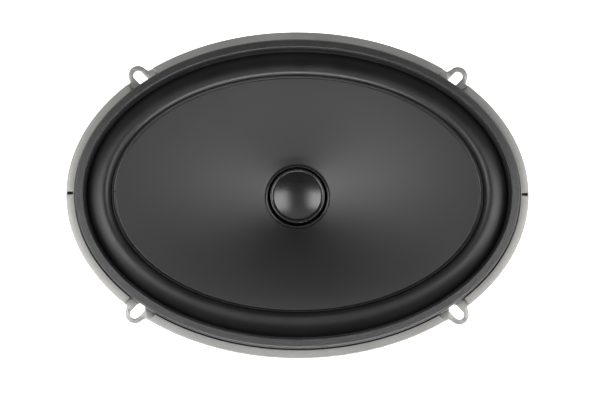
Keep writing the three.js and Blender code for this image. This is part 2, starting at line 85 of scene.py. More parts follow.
def mesh_object(name, verts, faces, material, sharp=35):
    mesh = bpy.data.meshes.new(name)
    mesh.from_pydata([(x * MM, y * MM, z * MM) for x, y, z in verts], [], faces)
    work = bmesh.new()
    work.from_mesh(mesh)
    bmesh.ops.remove_doubles(work, verts=work.verts, dist=2e-6)
    bmesh.ops.recalc_face_normals(work, faces=work.faces)
    work.to_mesh(mesh)
    work.free()
    obj = bpy.data.objects.new(name, mesh)
    bpy.context.scene.collection.objects.link(obj)
    mesh.materials.append(material)
    shade(obj, sharp)
    return obj


def shade(obj, sharp=35):
    for polygon in obj.data.polygons:
        polygon.use_smooth = True
    obj.data.set_sharp_from_angle(angle=math.radians(sharp))


def rounded(points, fillet=0.3, steps=4):
    """A closed outline with its corners rounded. A point may carry its own fillet as a third number."""
    outline = []
    count = len(points)
    for i, point in enumerate(points):
        here = Vector(point[:2])
        before = Vector(points[i - 1][:2]) - here
        after = Vector(points[(i + 1) % count][:2]) - here
        size = point[2] if len(point) > 2 else fillet
        reach = min(size, before.length * 0.45, after.length * 0.45)
        if reach < 0.02 or here.x < 0.001:
            outline.append(tuple(here))
            continue
        start = here + before.normalized() * reach
        end = here + after.normalized() * reach
        for k in range(steps + 1):
            t = k / steps
            at = start * (1 - t) ** 2 + here * 2 * t * (1 - t) + end * t ** 2
            outline.append(tuple(at))
    return outline


def smooth_line(points, steps=6):
    """Points along a Catmull-Rom curve through the given ones."""
    line = [Vector(p) for p in points]
    ends = [line[0] * 2 - line[1]] + line + [line[-1] * 2 - line[-2]]
    result = []
    for i in range(1, len(ends) - 2):
        a, b, c, d = ends[i - 1:i + 3]
        for k in range(steps):
            t = k / steps
            result.append(0.5 * (2 * b + (c - a) * t + (2 * a - 5 * b + 4 * c - d) * t * t
                                 + (3 * b - a - 3 * c + d) * t ** 3))
    result.append(line[-1])
    return result


def sheet(middle, thickness):
    """The closed outline of a sheet of even thickness with rounded edges, along a middle line."""
    middle = [Vector(p[:2]) for p in middle]
    sides = [[], []]
    for i, here in enumerate(middle):
        along = (middle[min(i + 1, len(middle) - 1)] - middle[max(i - 1, 0)]).normalized()
        across = Vector((-along.y, along.x)) * thickness / 2
        sides[0].append(here + across)
        sides[1].append(here - across)
    caps = []
    for end, inward in ((-1, -2), (0, 1)):
        out = (middle[end] - middle[inward]).normalized()
        side = Vector((-out.y, out.x))
        caps.append([middle[end] + (out * math.cos(a) + side * math.sin(a)) * thickness / 2
                     for a in (math.radians(d) for d in (60, 30, 0, -30, -60))])
    return [tuple(p) for p in sides[0] + caps[0] + sides[1][::-1] + caps[1]]


def turned(name, outline, material, oval=False, segments=None, centre=(0, 0), sharp=35):
    """A closed (r, z) outline carried round Z, or round the speaker's oval."""
    segments = segments or (360 if oval else 160)
    verts, faces = [], []
    count = len(outline)
    for i in range(segments):
        angle = 2 * math.pi * i / segments
        c, s = math.cos(angle), math.sin(angle)
        for r, z in outline:
            across = short_axis(r) if oval else r
            verts.append((centre[0] + r * c, centre[1] + across * s, z))
    for i in range(segments):
        for k in range(count):
            a, b = i * count, (i + 1) % segments * count
            n = (k + 1) % count
            if outline[k][0] < 1e-6 and outline[n][0] < 1e-6:
                continue
            faces.append((a + k, b + k, b + n, a + n))
    return mesh_object(name, verts, faces, material, sharp)


def prism(name, corners, z0, z1, material=None):
    """A flat (x, y) outline between two heights."""
    count = len(corners)
    verts = [(x, y, z) for z in (z0, z1) for x, y in corners]
    faces = [tuple(range(count - 1, -1, -1)), tuple(range(count, 2 * count))]
    faces += [(k, (k + 1) % count, count + (k + 1) % count, count + k) for k in range(count)]
    return mesh_object(name, verts, faces, material)


def tube(name, path, radius, material, sides=12, profile=None):
    """A round tube along a path, with rounded ends. profile(u) scales its radius from end to end."""
    path = [Vector(p) for p in path]
    verts, faces = [], []
    normal = None
    last = len(path) - 1
    for i, here in enumerate(path):
        along = (path[min(i + 1, last)] - path[max(i - 1, 0)]).normalized()
        if normal is None:
            normal = along.orthogonal().normalized()
        normal = (normal - along * normal.dot(along)).normalized()
        other = along.cross(normal)
        size = radius * (profile(i / last) if profile else 1)
        for k in range(sides):
            turn = 2 * math.pi * k / sides
            verts.append(tuple(here + (normal * math.cos(turn) + other * math.sin(turn)) * size))
    for i in range(last):
        for k in range(sides):
            n = (k + 1) % sides
            faces.append((i * sides + k, i * sides + n, (i + 1) * sides + n, (i + 1) * sides + k))
    faces.append(tuple(range(sides - 1, -1, -1)))
    faces.append(tuple(last * sides + k for k in range(sides)))
    return mesh_object(name, verts, faces, material)


def modified(obj, kind, **settings):
    modifier = obj.modifiers.new(kind.lower(), kind)
    for key, value in settings.items():
        setattr(modifier, key, value)
    graph = bpy.context.evaluated_depsgraph_get()
    mesh = bpy.data.meshes.new_from_object(obj.evaluated_get(graph))
    obj.modifiers.clear()
    obj.data = mesh
    return obj


def combine(obj, other, operation):
    modified(obj, "BOOLEAN", operation=operation, object=other, solver="EXACT")
    bpy.data.objects.remove(other)
    return obj


def cut(obj, *cutters):
    for cutter in cutters:
        combine(obj, cutter, "DIFFERENCE")
    return obj


def unite(obj, *others):
    for other in others:
        combine(obj, other, "UNION")
    return obj


def soften(obj, width, segments=2, angle=40, sharp=35):
    """Rounds the sharp edges of a cut shape."""
    modified(obj, "BEVEL", width=width * MM, segments=segments, limit_method="ANGLE",
             angle_limit=math.radians(angle), harden_normals=False, use_clamp_overlap=True)
    shade(obj, sharp)
    return obj


def round_box(x0, x1, y0, y1, z0, z1, corner, name="cutter"):
    """A box whose four upright corners are rounded."""
    points = []
    for cx, cy, start in ((x1, y1, 0), (x0, y1, 90), (x0, y0, 180), (x1, y0, 270)):
        mx = cx - corner if cx == x1 else cx + corner
        my = cy - corner if cy == y1 else cy + corner
        for k in range(7):
            a = math.radians(start + 15 * k)
            points.append((mx + corner * math.cos(a), my + corner * math.sin(a)))
    return prism(name, points, z0, z1)


def placed(obj, matrix):
    obj.data.transform(matrix)
    if matrix.to_3x3().determinant() < 0:
        obj.data.flip_normals()
    return obj


def turn_z(degrees):
    return Matrix.Rotation(math.radians(degrees), 4, "Z")


def shift(x, y, z):
    return Matrix.Translation((x * MM, y * MM, z * MM))


# ---------------------------------------------------------------- materials


class Nodes:
    def __init__(self, name):
        self.material = bpy.data.materials.new(name)
        self.material.use_nodes = True
        self.tree = self.material.node_tree
        self.shader = self.tree.nodes["Principled BSDF"]
        self.place = self.add("ShaderNodeTexCoord").outputs["Object"]

    def add(self, kind, inputs=None, **settings):
        node = self.tree.nodes.new(kind)
        for key, value in settings.items():
            setattr(node, key, value)
        for key, value in (inputs or {}).items():
            socket = node.inputs[key]
            if isinstance(value, bpy.types.NodeSocket):
                self.tree.links.new(value, socket)
            else:
                socket.default_value = value
        return node

    def noise(self, scale, detail=4, rough=0.6, place=None):
        return self.add("ShaderNodeTexNoise", {"Vector": place or self.place, "Scale": scale, "Detail": detail,
                                               "Roughness": rough}).outputs["Fac"]

    def spread(self, value, low, high, to_low=0.0, to_high=1.0):
        return self.add("ShaderNodeMapRange", {"Value": value, "From Min": low, "From Max": high,
                                               "To Min": to_low, "To Max": to_high}).outputs["Result"]

    def math(self, operation, a, b=0.0):
        return self.add("ShaderNodeMath", {0: a, 1: b}, operation=operation).outputs[0]

    def mix(self, factor, a, b):
        node = self.add("ShaderNodeMix", {"Factor": factor}, data_type="RGBA")
        for socket, value in ((node.inputs[6], a), (node.inputs[7], b)):
            if isinstance(value, bpy.types.NodeSocket):
                self.tree.links.new(value, socket)
            else:
                socket.default_value = (*value, 1)
        return node.outputs[2]

    def bump(self, height, strength, distance, normal=None):
        inputs = {"Height": height, "Strength": strength, "Distance": distance * MM}
        if normal:
            inputs["Normal"] = normal
        return self.add("ShaderNodeBump", inputs).outputs["Normal"]

    def edges(self, low=0.52, high=0.62):
        return self.spread(self.add("ShaderNodeNewGeometry").outputs["Pointiness"], low, high)

    def radius(self):
        parts = self.add("ShaderNodeSeparateXYZ", {0: self.place}).outputs
        squares = self.math("ADD", self.math("MULTIPLY", parts["X"], parts["X"]),
                            self.math("MULTIPLY", parts["Y"], parts["Y"]))
        return self.math("SQRT", squares)

    def set(self, **values):
        for key, value in values.items():
            socket = self.shader.inputs[key.replace("_", " ")]
            if isinstance(value, bpy.types.NodeSocket):
                self.tree.links.new(value, socket)
            else:
                socket.default_value = (*value, 1) if isinstance(value, tuple) else value
        return self.material


def grained(name, dark, light, rough, grain, bump, patch=60, metallic=0.0, wear=None, **extra):
    """Moulded, painted or rubber finish: colour drifts over patch, and grain per metre gives bump and roughness."""
    n = Nodes(name)
    drift = n.noise(patch, 5)
    fine = n.noise(grain, 6, 0.7)
    colour = n.mix(n.spread(drift, 0.3, 0.7), dark, light)
    colour = n.mix(n.spread(fine, 0.35, 0.75, 0, 0.35), colour, light)
    if wear:
        colour = n.mix(n.math("MULTIPLY", n.edges(), n.spread(fine, 0.4, 0.7)), colour, wear)
    roughness = n.spread(n.math("ADD", drift, fine), 0.7, 1.3, rough - 0.07, rough + 0.07)
    normal = n.bump(fine, bump[0], bump[1])
    normal = n.bump(n.noise(grain / 6, 3), bump[0] * 0.5, bump[1] * 2, normal)
    return n.set(Base_Color=colour, Roughness=roughness, Metallic=metallic, Normal=normal, **extra)


def turned_metal(name, dark, light, rough, pitch=2400, strength=0.25, metallic=1.0, **extra):
    """Lathe-turned or plated metal: fine rings round Z, faint stains and worn edges."""
    n = Nodes(name)
    radius = n.radius()
    wobble = n.math("MULTIPLY", n.noise(90, 3), 0.0006)
    rings = n.math("SINE", n.math("MULTIPLY", n.math("ADD", radius, wobble), pitch * 6.283))
    stain = n.noise(140, 6, 0.65)
    fine = n.noise(5200, 3)
    colour = n.mix(n.spread(stain, 0.35, 0.7), dark, light)
    colour = n.mix(n.math("MULTIPLY", n.edges(), 0.5), colour, light)
    roughness = n.spread(n.math("ADD", stain, fine), 0.7, 1.3, rough - 0.08, rough + 0.1)
    normal = n.bump(n.math("ADD", n.math("MULTIPLY", rings, 0.5), fine), strength, 0.012)
    return n.set(Base_Color=colour, Roughness=roughness, Metallic=metallic, Normal=normal, **extra)


def painted():
    """Grey metallic powder coat with a fine orange peel. Painted shade darkens its crevices, the lip is painted
    near black as shade under the gasket, and the coat is painted darker behind the seat as shade against the floor's
    light."""
    n = Nodes("basket_paint")
    flakes = n.add("ShaderNodeTexVoronoi", {"Vector": n.place, "Scale": 3800.0}).outputs["Color"]
    flake = n.add("ShaderNodeSeparateColor", {0: flakes}).outputs[0]
    drift = n.noise(45, 5)
    colour = n.mix(n.spread(drift, 0.3, 0.7), (0.31, 0.306, 0.295), (0.35, 0.346, 0.331))
    colour = n.mix(n.spread(flake, 0.0, 1.0, 0.0, 0.3), colour, (0.52, 0.512, 0.49))
    # Painted shade: the coat is mixed towards near black in slits, notches and recess corners, wherever ambient
    # occlusion finds it hemmed in.
    crevice_shade_mask = n.add("ShaderNodeAmbientOcclusion", {"Distance": 2.5 * MM}, samples=8).outputs["AO"]
    colour = n.mix(n.spread(crevice_shade_mask, 0.3, 0.75), (0.01, 0.01, 0.01), colour)
    height = n.add("ShaderNodeSeparateXYZ", {0: n.place}).outputs["Z"]
    # Painted shade: the lip standing above the band is painted near black, as the shade it lies in under the gasket.
    painted_lip_shade = n.spread(height, BAND_Z * MM + 0.0002, BAND_Z * MM + 0.0006)
    colour = n.mix(painted_lip_shade, colour, (0.07, 0.07, 0.07))
    # Painted shade: the coat below the seat is painted darker to hold down the bright floor's light on the back of the
    # basket.
    painted_shade_behind = n.spread(height, (SEAT_Z - 1.5) * MM, SEAT_Z * MM, 0.75, 0.0)
    colour = n.mix(painted_shade_behind, colour, (0.085, 0.084, 0.08))
    scuffs = n.math("MULTIPLY", n.edges(0.54, 0.66), n.spread(n.noise(900, 5), 0.55, 0.7))
    colour = n.mix(scuffs, colour, (0.62, 0.61, 0.59))
    roughness = n.spread(n.math("ADD", n.noise(700, 5), drift), 0.7, 1.3, 0.34, 0.5)
    normal = n.bump(n.noise(1500, 4, 0.55), 0.16, 0.05)
    normal = n.bump(flake, 0.05, 0.01, normal)
    return n.set(Base_Color=colour, Roughness=roughness, Metallic=0.55, Normal=normal)


def foam():
    """Charcoal closed-cell foam: small pits in a matt skin, with a sheen at grazing light."""
    n = Nodes("gasket_foam")
    cells = n.add("ShaderNodeTexVoronoi", {"Vector": n.place, "Scale": 2600.0}).outputs["Distance"]
    pits = n.spread(cells, 0.05, 0.45)
    clumps = n.noise(600, 6, 0.7)
    colour = n.mix(n.spread(clumps, 0.35, 0.7), (0.007, 0.007, 0.008), (0.019, 0.019, 0.021))
    colour = n.mix(n.spread(pits, 0.0, 0.5, 0.7, 0.0), colour, (0.006, 0.006, 0.007))
    normal = n.bump(pits, 0.6, 0.16)
    normal = n.bump(clumps, 0.7, 0.4, normal)
    return n.set(Base_Color=colour, Roughness=0.4, Normal=normal, Specular_IOR_Level=0.8, Sheen_Weight=0.05,
                 Sheen_Roughness=0.4)


def cone_polymer():
    """Injection-moulded cone: mica-filled satin polymer with a very fine grain and a faint drift in its gloss."""
    n = Nodes("cone_polymer")
    flow = n.noise(22, 3, 0.5)
    fine = n.noise(2600, 5, 0.65)
    specks = n.spread(n.noise(5200, 2), 0.66, 0.8)
    colour = n.mix(n.spread(flow, 0.3, 0.7), (0.0032, 0.0032, 0.0034), (0.0044, 0.0044, 0.0046))
    colour = n.mix(n.math("MULTIPLY", specks, 0.15), colour, (0.03, 0.03, 0.03))
    roughness = n.spread(n.math("ADD", flow, fine), 0.7, 1.3, 0.44, 0.5)
    normal = n.bump(fine, 0.1, 0.025)
    return n.set(Base_Color=colour, Roughness=roughness, Normal=normal, Specular_IOR_Level=1.0)


def spider_cloth():
    """Open-weave phenolic-soaked cotton."""
    n = Nodes("spider_cloth")
    parts = n.add("ShaderNodeSeparateXYZ", {0: n.place}).outputs
    pitch = 6.283 / 0.0011
    warp = n.math("SINE", n.math("MULTIPLY", parts["X"], pitch))
    weft = n.math("SINE", n.math("MULTIPLY", parts["Y"], pitch))
    weave = n.math("ADD", n.math("MULTIPLY", warp, warp), n.math("MULTIPLY", weft, weft))
    stain = n.noise(120, 5)
    colour = n.mix(n.spread(stain, 0.3, 0.7), (0.40, 0.24, 0.09), (0.52, 0.34, 0.15))
    colour = n.mix(n.spread(weave, 0.2, 1.4, 0.55, 0.0), colour, (0.16, 0.09, 0.03))
    normal = n.bump(weave, 0.6, 0.15)
    normal = n.bump(n.noise(3000, 3), 0.3, 0.06, normal)
    return n.set(Base_Color=colour, Roughness=0.85, Normal=normal, Sheen_Weight=0.2)


def braid(name, dark, light, metallic, along=1500.0):
    """Braided wire: two crossing sets of strands."""
    n = Nodes(name)
    parts = n.add("ShaderNodeSeparateXYZ", {0: n.place}).outputs
    lengthways = n.math("SUBTRACT", parts["Z"], parts["Y"])
    one = n.math("SINE", n.math("MULTIPLY", n.math("ADD", lengthways, parts["X"]), along * 6.283))
    two = n.math("SINE", n.math("MULTIPLY", n.math("SUBTRACT", lengthways, parts["X"]), along * 6.283))
    strands = n.math("MAXIMUM", one, two)
    grain = n.noise(6000, 3)
    colour = n.mix(n.spread(strands, -0.4, 0.9), dark, light)
    roughness = n.spread(grain, 0.3, 0.7, 0.35, 0.6)
    normal = n.bump(n.math("ADD", strands, n.math("MULTIPLY", grain, 0.4)), 0.7, 0.12)
    return n.set(Base_Color=colour, Roughness=roughness, Metallic=metallic, Normal=normal)


def wound_copper():
    """Enamelled copper wire wound in close turns."""
    n = Nodes("copper_wire")
    parts = n.add("ShaderNodeSeparateXYZ", {0: n.place}).outputs
    turns = n.math("SINE", n.math("MULTIPLY", parts["Z"], 6.283 / 0.0004))
    stain = n.noise(300, 4)
    colour = n.mix(n.spread(stain, 0.3, 0.7), (0.42, 0.16, 0.06), (0.62, 0.28, 0.11))
    colour = n.mix(n.spread(turns, -1.0, -0.3, 0.8, 0.0), colour, (0.08, 0.03, 0.01))
    normal = n.bump(turns, 0.7, 0.1)
    roughness = n.spread(stain, 0.3, 0.7, 0.22, 0.4)
    return n.set(Base_Color=colour, Roughness=roughness, Metallic=0.85, Normal=normal, Coat_Weight=0.4)


PAINT = painted()
FOAM = foam()
RUBBER = grained("surround_rubber", (0.005, 0.005, 0.005), (0.008, 0.008, 0.0085), 0.44, 2200, (0.12, 0.03),
                 Specular_IOR_Level=0.6)
CONE = cone_polymer()
GLOSS = grained("black_gloss", (0.016, 0.016, 0.017), (0.026, 0.026, 0.027), 0.24, 1500, (0.05, 0.02),
                wear=(0.09, 0.09, 0.09), Coat_Weight=0.3, Coat_Roughness=0.15)
BEZEL = grained("bezel_gloss", (0.012, 0.012, 0.012), (0.02, 0.02, 0.021), 0.22, 1800, (0.05, 0.02),
                wear=(0.09, 0.09, 0.09), Specular_IOR_Level=1.0)
NECK = grained("neck_gloss", (0.012, 0.012, 0.012), (0.02, 0.02, 0.02), 0.26, 1800, (0.05, 0.02),
               wear=(0.06, 0.06, 0.06), Specular_IOR_Level=1.0)
PAPER = grained("former_paper", (0.022, 0.018, 0.014), (0.045, 0.036, 0.027), 0.6, 1400, (0.35, 0.06))
COPPER = wound_copper()
CLOTH = spider_cloth()
STEEL = turned_metal("plated_steel", (0.42, 0.42, 0.41), (0.60, 0.60, 0.58), 0.33)
FASTENER = turned_metal("fastener_zinc", (0.48, 0.47, 0.44), (0.68, 0.67, 0.63), 0.28, 3000, 0.12)
FERRITE = grained("ferrite", (0.022, 0.021, 0.021), (0.045, 0.043, 0.042), 0.62, 900, (0.5, 0.12),
                  wear=(0.12, 0.11, 0.10))
BOOT = grained("boot_rubber", (0.012, 0.012, 0.012), (0.024, 0.024, 0.025), 0.52, 1600, (0.3, 0.06),
               wear=(0.07, 0.07, 0.07))
NICKEL = turned_metal("nickel", (0.60, 0.57, 0.52), (0.74, 0.71, 0.66), 0.18, 3000, 0.08)
DOME = grained("dome_film", (0.010, 0.010, 0.011), (0.016, 0.016, 0.017), 0.31, 2200, (0.04, 0.02),
               Specular_IOR_Level=0.85)
LAMINATE = grained("board_laminate", (0.13, 0.055, 0.022), (0.20, 0.09, 0.035), 0.5, 700, (0.2, 0.05),
                   wear=(0.35, 0.22, 0.12))
SLEEVE = grained("sleeve_plastic", (0.016, 0.035, 0.10), (0.022, 0.05, 0.14), 0.26, 1200, (0.06, 0.03),
                 Coat_Weight=0.4)
LEAD = grained("lead_rubber", (0.012, 0.012, 0.012), (0.026, 0.026, 0.026), 0.45, 1900, (0.25, 0.05))
TINSEL = braid("tinsel", (0.16, 0.07, 0.03), (0.62, 0.33, 0.16), 0.8)
SOLDER = grained("solder", (0.48, 0.48, 0.47), (0.66, 0.66, 0.65), 0.3, 1300, (0.2, 0.08), metallic=0.95)
GLUE = grained("glue", (0.02, 0.02, 0.02), (0.05, 0.045, 0.04), 0.25, 500, (0.5, 0.3))


# ---------------------------------------------------------------- pieces

flexing = []


def piece(obj, body, slot, *nodes):
    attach(obj, body)
    if nodes:
        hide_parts(*nodes)
    return obj


def flexible(obj, node, ends, share):
    """A ring that bends between the basket and the cone. share(r, z) is 0 at the basket and 1 at the cone."""
    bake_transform(obj, "frame", "cone_assembly", *ends)
    weights = obj.data.attributes["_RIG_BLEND"].data
    for vertex in obj.data.vertices:
        x, y, z = vertex.co
        t = min(max(share(x, y, z), 0), 1)
        weights[vertex.index].value = t * t * (3 - 2 * t)
    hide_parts(node)
    return obj


# Basket: the flange with its band, tabs and slots

SLOT_X, SLOT_Y = 81.9, 61.2
SLOT_R, SLOT_TRAVEL, TAB_R = 2.5, 3.7, 4.9
CORNERS = ((1, 1), (-1, 1), (-1, -1), (1, -1))


def at_tab(obj, side_x, side_y):
    """Takes a shape drawn with its slot along +X, outer end at the origin, to one corner of the flange."""
    return placed(obj, Matrix.Diagonal((side_x, side_y, 1, 1)) @ shift(SLOT_X, SLOT_Y, 0) @ turn_z(45))


def arc(x, y, r, start, end, steps=12):
    return [(x + r * math.cos(math.radians(start + (end - start) * k / steps)),
             y + r * math.sin(math.radians(start + (end - start) * k / steps))) for k in range(steps + 1)]


def slot_cutter():
    outline = arc(0, 0, SLOT_R, -90, 90) + arc(-SLOT_TRAVEL, 0, SLOT_R, 90, 270)
    return prism("cutter", outline, 70, TAB_Z + 0.03)


def tab_plate():
    near = smooth_line([(0, TAB_R), (-1.5, TAB_R + 0.35), (-3.1, TAB_R + 1.3), (-4.0, TAB_R + 2.9), (-9, TAB_R + 4.6)], 6)
    far = smooth_line([(-9, -TAB_R - 4.1), (-3, -TAB_R - 4.3), (-1.2, -TAB_R - 2.7), (-0.2, -TAB_R - 0.9),
                       (1.6, -TAB_R + 0.1), (3.46, -3.46)], 6)
    outline = arc(0, 0, TAB_R, -45, 90, 18)[1:-1] + [tuple(p) for p in near] + [tuple(p) for p in far]
    return prism("tab", outline, SEAT_Z + 0.02, TAB_Z - 0.01)


def recess_cutter():
    """The space over a tab, where the band stops short on both sides. flange() trims it to end at the lip's outer wall.
    """
    space = prism("cutter", [(-9, -7.4), (7, -7.4), (7, 7.8), (-9, 7.8)], TAB_Z + 0.015, 84)
    return space


def flange():
    ring = turned("basket", rounded([
        (FLANGE_R, SEAT_Z, 0.4), (FLANGE_R, BAND_Z - 0.4, 0.4), (BAND_IN, BAND_Z, 0.15),
        (BAND_IN, SEAT_Z + 0.6, 0.1),
        (LIP_OUT, SEAT_Z + 0.6, 0.1), (LIP_OUT, LIP_Z, 0.25), (LIP_OUT - 0.7, LIP_Z, 0.25), (LIP_OUT - 0.7, LANDING_Z, 0.2),
        (RIM_IN, LANDING_Z, 0.8), (RIM_IN, SEAT_Z, 1.5), (FLANGE_R - 13.4, SKIRT_Z + 3, 1), (FLANGE_R - 13.4, SKIRT_Z, 0.5),
        (FLANGE_R - 11.4, SKIRT_Z, 0.5), (FLANGE_R - 11.4, SKIRT_Z + 3, 1), (FLANGE_R - 8.8, SEAT_Z, 1.2),
    ]), PAINT, oval=True)
    keep = [(LIP_OUT, 70), (LIP_OUT, 90), (FLANGE_R - 20, 90), (FLANGE_R - 20, 70)]
    for corner in CORNERS:
        space = at_tab(recess_cutter(), *corner)
        cut(ring, cut(space, turned("cutter", keep, PAINT, oval=True)))
    notch = 3.2
    for side in (-1, 1):
        x = side * (FLANGE_R - 0.6 - notch / 2)
        cut(ring, round_box(x - notch / 2, x + notch / 2, -0.7, 0.7, SEAT_Z + 0.8, 84, 0.15))
    for corner in CORNERS:
        unite(ring, at_tab(tab_plate(), *corner))
        cut(ring, at_tab(slot_cutter(), *corner))
    return ring


basket = soften(flange(), 0.15)
piece(basket, "frame", "basket_paint", "basket")


# Basket: the cup behind the spider, its ledge, the six arms and the ear for the terminals

def cup():
    wall = turned("basket_cup", rounded([
        (21, CUP_Z, 0.5), (49.5, CUP_Z, 1.6), (52, SPIDER_Z - 3.4, 1.2), (56.5, SPIDER_Z - 3.4, 0.8),
        (56.5, SPIDER_Z, 0.8), (49.6, SPIDER_Z, 1.6), (47.6, CUP_Z + 2.3, 1.8), (21, CUP_Z + 2.3, 0.5),
    ]), PAINT, segments=240)
    for degrees in (28.5, 90, 151.5, 208.5, 331.5):
        window = round_box(-8, 8, CUP_Z + 4, SPIDER_Z - 6, -58, -44, 2.2)
        cut(wall, placed(window, turn_z(degrees + 90) @ Matrix.Rotation(math.radians(90), 4, "X")))
    for degrees in (45, 135, 225, 315):
        hole = turned("cutter", [(0, 25), (2.3, 25), (2.3, 40), (0, 40)], PAINT, segments=32)
        cut(wall, placed(hole, turn_z(degrees) @ shift(33, 0, 0)))
    return soften(wall, 0.25)


def arm(degrees):
    """A pressed arm: a strap with a raised bead down its middle and edges turned down."""
    angle = math.radians(degrees)
    reach = oval_reach(FLANGE_R - 12.2, angle)
    line = smooth_line([(51.4, SPIDER_Z - 1.7), (56, SPIDER_Z - 1.3), ((56 + reach) / 2 + 0.4, 57.4),
                        (reach - 3.2, SKIRT_Z + 1.3), (reach - 0.6, SKIRT_Z + 2.6)], 10)
    half = 8.0 if degrees % 180 == 0 else 6.5
    across = 24
    verts, faces = [], []
    for side in (0.9, -0.9):
        for i, here in enumerate(line):
            share = i / (len(line) - 1)
            along = (line[min(i + 1, len(line) - 1)] - line[max(i - 1, 0)]).normalized()
            up = Vector((-along.y, along.x))
            fade = min(1, share * 5, (1 - share) * 5)
            fade = fade * fade * (3 - 2 * fade)
            width = half * (1 + 0.16 * (2 * share - 1) ** 4)
            for k in range(across + 1):
                u = 2 * k / across - 1
                bead = math.exp(-(u / 0.26) ** 4) * 1.1 - max(abs(u) - 0.78, 0) ** 2 * 34
                at = here + up * (bead * fade + side)
                verts.append((at.x, u * width, at.y))
    row = across + 1
    size = row * len(line)
    for i in range(len(line) - 1):
        for k in range(across):
            a = i * row + k
            faces.append((a, a + row, a + row + 1, a + 1))
            faces.append((size + a, size + a + 1, size + a + row + 1, size + a + row))
    rim = [k for k in range(across)] + [across + i * row for i in range(len(line) - 1)]
    rim += [size - 1 - k for k in range(across)] + [size - row - i * row for i in range(len(line) - 1)]
    for k, a in enumerate(rim):
        b = rim[(k + 1) % len(rim)]
        faces.append((a, b, size + b, size + a))
    obj = mesh_object(f"basket_arm_{degrees}", verts, faces, PAINT)
    return soften(placed(obj, turn_z(degrees)), 0.35)


def web(degrees):
    """The upright rib under an arm."""
    angle = math.radians(degrees)
    reach = oval_reach(FLANGE_R - 12.2, angle)
    below = smooth_line([(50.2, CUP_Z + 6.5), (56, 43.5), ((56 + reach) / 2, 53), (reach - 3, SKIRT_Z + 0.4)], 8)
    outline = [tuple(p) for p in below] + [(reach - 3, SKIRT_Z + 1.2), ((56 + reach) / 2, 57), (56, SPIDER_Z - 2),
                                           (50.6, SPIDER_Z - 3)]
    obj = prism(f"basket_web_{degrees}", outline, -1.3, 1.3, PAINT)
    return soften(placed(obj, turn_z(degrees) @ Matrix.Rotation(math.radians(90), 4, "X")), 0.45, 3)


piece(cup(), "frame", "basket_paint", "basket")
for degrees in (0, 57, 123, 180, 237, 303):
    piece(arm(degrees), "frame", "basket_paint")
    piece(web(degrees), "frame", "basket_paint")

EAR_Z = 38.0
BOARD_Z = EAR_Z + 2.3
TERMINAL_X, RIVET_Y = 9.0, -64.0
ear = round_box(-15, 15, -70, -50, EAR_Z, EAR_Z + 2, 3, "basket_ear")
ear.data.materials.append(PAINT)
for x in (-TERMINAL_X, TERMINAL_X):
    cut(ear, turned("cutter", [(0, 30), (1.6, 30), (1.6, 50), (0, 50)], PAINT, segments=32, centre=(x, RIVET_Y)))
cut(ear, turned("cutter", [(0, 30), (1.4, 30), (1.4, 50), (0, 50)], PAINT, segments=32, centre=(0, -53.4)))
piece(soften(ear, 0.3), "frame", "basket_paint")

# Gasket, surround and cone

crown = [tuple(p) for p in smooth_line([
    (GASKET_OUT, LIP_Z + 0.4), (112.25, 86.2), (112.0, 86.65), (111.3, 86.85), (110.3, 87.05), (109.4, 87.22), (108.8, 87.32),
    (108.45, 87.25), (108.25, 86.95), (GASKET_IN, 86.4),
], 5)]
gasket = turned("gasket", [(LIP_OUT - 1.0, LANDING_Z + 1), (LIP_OUT - 1.0, LIP_Z + 0.25), (LIP_OUT - 0.1, LIP_Z + 0.25)]
                + crown + [(GASKET_IN, LANDING_Z + 1)], FOAM, oval=True, segments=480)
piece(gasket, "frame", "gasket_foam", "gasket")

ROLL_OUT, ROLL_IN = FLANGE_R - 10.6, FLANGE_R - 22.6
OUTER_FOOT_Z, INNER_FOOT_Z, ROLL_HEIGHT = LANDING_Z + 0.55, SEAT_Z + 5.25, 4.2


def surround():
    steps = 36
    line = [(LIP_OUT - 1.4, OUTER_FOOT_Z), (LIP_OUT - 3.2, OUTER_FOOT_Z)]
    for i in range(steps + 1):
        share = i / steps
        r = ROLL_OUT + (ROLL_IN - ROLL_OUT) * (0.5 - 0.5 * math.cos(math.pi * share ** 0.7))
        foot = OUTER_FOOT_Z + (INNER_FOOT_Z - OUTER_FOOT_Z) * share
        line.append((r, foot + ROLL_HEIGHT * math.sin(math.pi * share)))
    bead = [(0.15, -0.3), (0.4, -0.5), (0.65, -0.42), (0.85, -0.05), (1.0, 0.12), (1.15, 0.12), (1.3, -0.08),
            (1.45, -0.45), (1.6, -0.7)]
    line += [(ROLL_IN - inward, INNER_FOOT_Z + 0.3 + up) for inward, up in bead]
    return turned("surround", sheet(line, 0.62), RUBBER, oval=True)


def oval_share(outer, inner):
    def share(x, y, z):
        # The oval's own radius through the point, found by halving.
        low, high = 80.0, 120.0
        for _ in range(24):
            r = (low + high) / 2
            if (x / MM / r) ** 2 + (y / MM / short_axis(r)) ** 2 > 1:
                low = r
            else:
                high = r
        return (outer - low) / (outer - inner)
    return share


flexible(surround(), "surround", ((0, 0, 0.086), (0, 0, 0.082)), oval_share(ROLL_OUT, ROLL_IN))


def cone_height(r):
    share = (r - NECK_R) / (CONE_R - NECK_R)
    return NECK_Z + (CONE_Z - NECK_Z) * (1 - (1 - share) ** CONE_CURVE)


